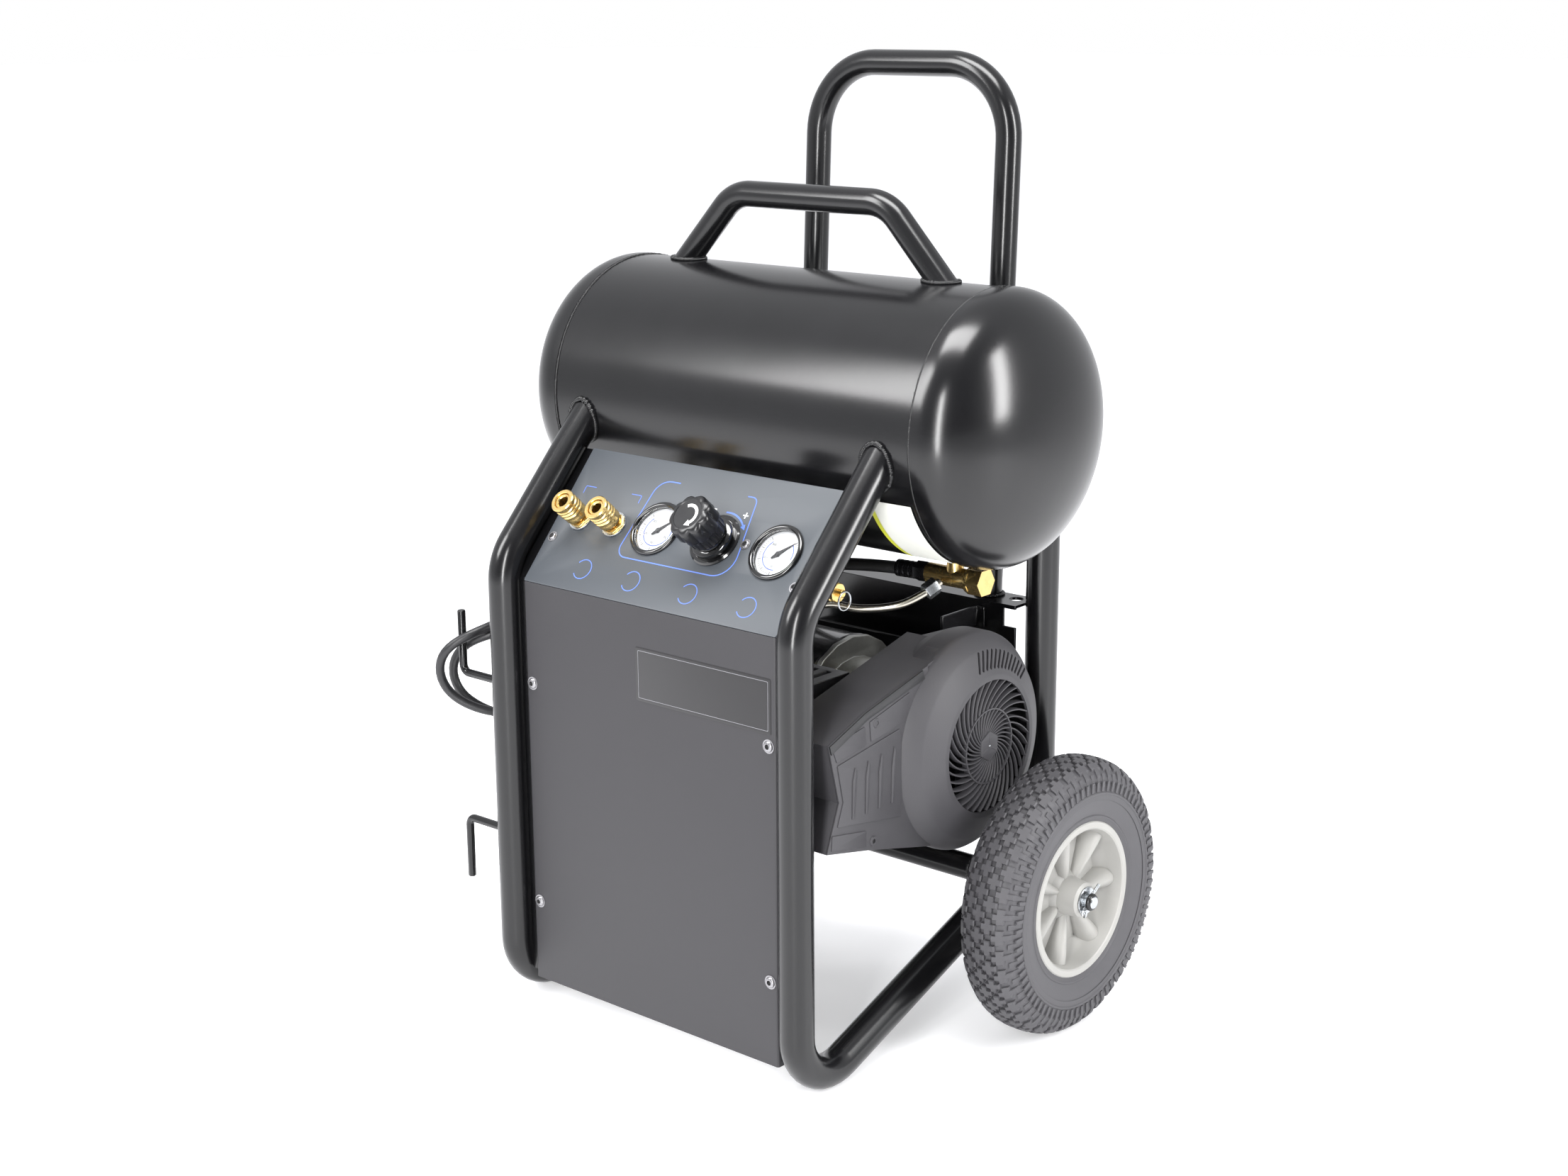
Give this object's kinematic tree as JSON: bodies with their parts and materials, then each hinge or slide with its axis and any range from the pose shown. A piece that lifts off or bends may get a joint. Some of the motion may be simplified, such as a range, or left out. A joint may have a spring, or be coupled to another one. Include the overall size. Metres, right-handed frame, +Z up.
{
  "type": "portable air compressor",
  "caption": "Portable air compressor on a tube frame with wheels, stood upright for storage: tank across the top, sloping gauge panel and front cover, oil-free pump behind.",
  "frame": {"origin": "on the floor, under the middle of the compressor's outline without its cord", "axes": "+X to the right along the tank and the axle, +Y to the back, +Z up; the front cover faces -Y"},
  "size_m": [0.607, 0.4373, 0.9058],
  "materials": {
    "black_powder_coat": "satin black powder coat",
    "charcoal_sheet": "matt charcoal powder coat",
    "panel_overlay": "matt grey overlay",
    "brass": "turned brass",
    "bright_steel": "bright zinc-plated steel",
    "cast_aluminium": "cast, unpainted",
    "dark_plastic": "textured moulding",
    "gloss_plastic": "glossy black moulding",
    "needle_paint": "matt black",
    "tyre_rubber": "treaded rubber",
    "black_rubber": "black rubber",
    "hub_plastic": "light grey moulding",
    "lever_plastic": "red moulding"
  },
  "bodies": {
    "frame": {"tank_shell": "black_powder_coat", "tank_head_left": "black_powder_coat", "tank_head_right": "black_powder_coat", "side_frame_left": "black_powder_coat", "side_frame_right": "black_powder_coat", "carry_handle": "black_powder_coat", "pull_handle": "black_powder_coat", "back_plate": "black_powder_coat", "plate_gusset": "black_powder_coat", "axle_tube": "black_powder_coat", "motor_housing": "black_powder_coat", "pump_base": "black_powder_coat", "cord_hook_upper": "black_powder_coat", "cord_hook_lower": "black_powder_coat", "front_cover": "charcoal_sheet", "control_panel": "panel_overlay", "coupler_left_body": "brass", "coupler_right_body": "brass", "outlet_manifold": "brass", "tank_pressure_pipe": "brass", "relief_valve": "brass", "check_valve": "brass", "head_fitting": "brass", "drain_valve": "brass", "axle": "bright_steel", "discharge_tube": "bright_steel", "motor_end_cap": "cast_aluminium", "crankcase": "cast_aluminium", "cylinder": "cast_aluminium", "cylinder_head": "cast_aluminium", "fan_shroud": "dark_plastic", "intake_filter": "dark_plastic", "gauge_outlet": "gloss_plastic", "gauge_tank": "gloss_plastic", "regulator_body": "gloss_plastic", "pressure_switch": "gloss_plastic", "rest_foot_left": "black_rubber", "rest_foot_right": "black_rubber", "tank_hose": "black_rubber", "rubber_mount_left": "black_rubber", "rubber_mount_right": "black_rubber", "strain_relief": "black_rubber", "power_cord": "black_rubber", "cord_hank": "black_rubber", "plug": "black_rubber"},
    "wheel_left": {"wheel_hub_left": "hub_plastic", "tyre_left": "tyre_rubber"},
    "wheel_right": {"wheel_hub_right": "hub_plastic", "tyre_right": "tyre_rubber"},
    "crank": {"crankshaft": "bright_steel", "cooling_fan": "dark_plastic"},
    "piston_rod": {"piston": "cast_aluminium"},
    "knob": {"regulator_knob": "gloss_plastic"},
    "outlet_needle": {"gauge_outlet_needle": "needle_paint"},
    "tank_needle": {"gauge_tank_needle": "needle_paint"},
    "left_sleeve": {"coupler_left_sleeve": "brass"},
    "right_sleeve": {"coupler_right_sleeve": "brass"},
    "lever": {"switch_lever": "lever_plastic"},
    "relief_ring": {"relief_valve_ring": "bright_steel"},
    "drain_key": {"drain_valve_key": "brass"}
  },
  "joints": [
    {"name": "wheel_left_spin", "type": "hinge", "parent": "frame", "child": "wheel_left", "pos_m": [-0.2648, 0.08395, 0.1335], "axis": [1, 0, 0], "continuous": true},
    {"name": "wheel_right_spin", "type": "hinge", "parent": "frame", "child": "wheel_right", "pos_m": [0.2648, 0.08395, 0.1335], "axis": [1, 0, 0], "continuous": true},
    {"name": "crank_spin", "type": "hinge", "parent": "frame", "child": "crank", "pos_m": [0, 0.03595, 0.281], "axis": [1, 0, 0], "continuous": true},
    {"name": "piston_stroke", "type": "slide", "parent": "frame", "child": "piston_rod", "axis": [0, 1, 0], "range_m": [-0.012, 0.012]},
    {"name": "knob_turn", "type": "hinge", "parent": "frame", "child": "knob", "pos_m": [0.042, -0.14869, 0.48475], "axis": [0, 0.7571, -0.6533], "range_deg": [0, 720]},
    {"name": "outlet_needle_sweep", "type": "hinge", "parent": "frame", "child": "outlet_needle", "pos_m": [-0.0313, -0.14869, 0.48475], "axis": [0, 0.7571, -0.6533], "range_deg": [0, 270], "stiffness_Nm_per_rad": 0.0002, "springref_deg": -17.19},
    {"name": "tank_needle_sweep", "type": "hinge", "parent": "frame", "child": "tank_needle", "pos_m": [0.1147, -0.14869, 0.48475], "axis": [0, 0.7571, -0.6533], "range_deg": [0, 270], "stiffness_Nm_per_rad": 0.0002, "springref_deg": -17.19},
    {"name": "left_sleeve_slide", "type": "slide", "parent": "frame", "child": "left_sleeve", "axis": [0, 0.7571, -0.6533], "range_m": [0, 0.004], "stiffness_N_per_m": 1000, "springref_m": -0.002},
    {"name": "right_sleeve_slide", "type": "slide", "parent": "frame", "child": "right_sleeve", "axis": [0, 0.7571, -0.6533], "range_m": [0, 0.004], "stiffness_N_per_m": 1000, "springref_m": -0.002},
    {"name": "lever_throw", "type": "hinge", "parent": "frame", "child": "lever", "pos_m": [-0.1503, -0.10955, 0.408], "axis": [1, 0, 0], "range_deg": [-25, 25]},
    {"name": "relief_pull", "type": "slide", "parent": "frame", "child": "relief_ring", "axis": [1, 0, 0], "range_m": [0, 0.003], "stiffness_N_per_m": 500, "springref_m": -0.002},
    {"name": "drain_turn", "type": "hinge", "parent": "frame", "child": "drain_key", "pos_m": [0, 0.15925, 0.5815], "axis": [0, 1, 0], "range_deg": [0, 360]}
  ]
}
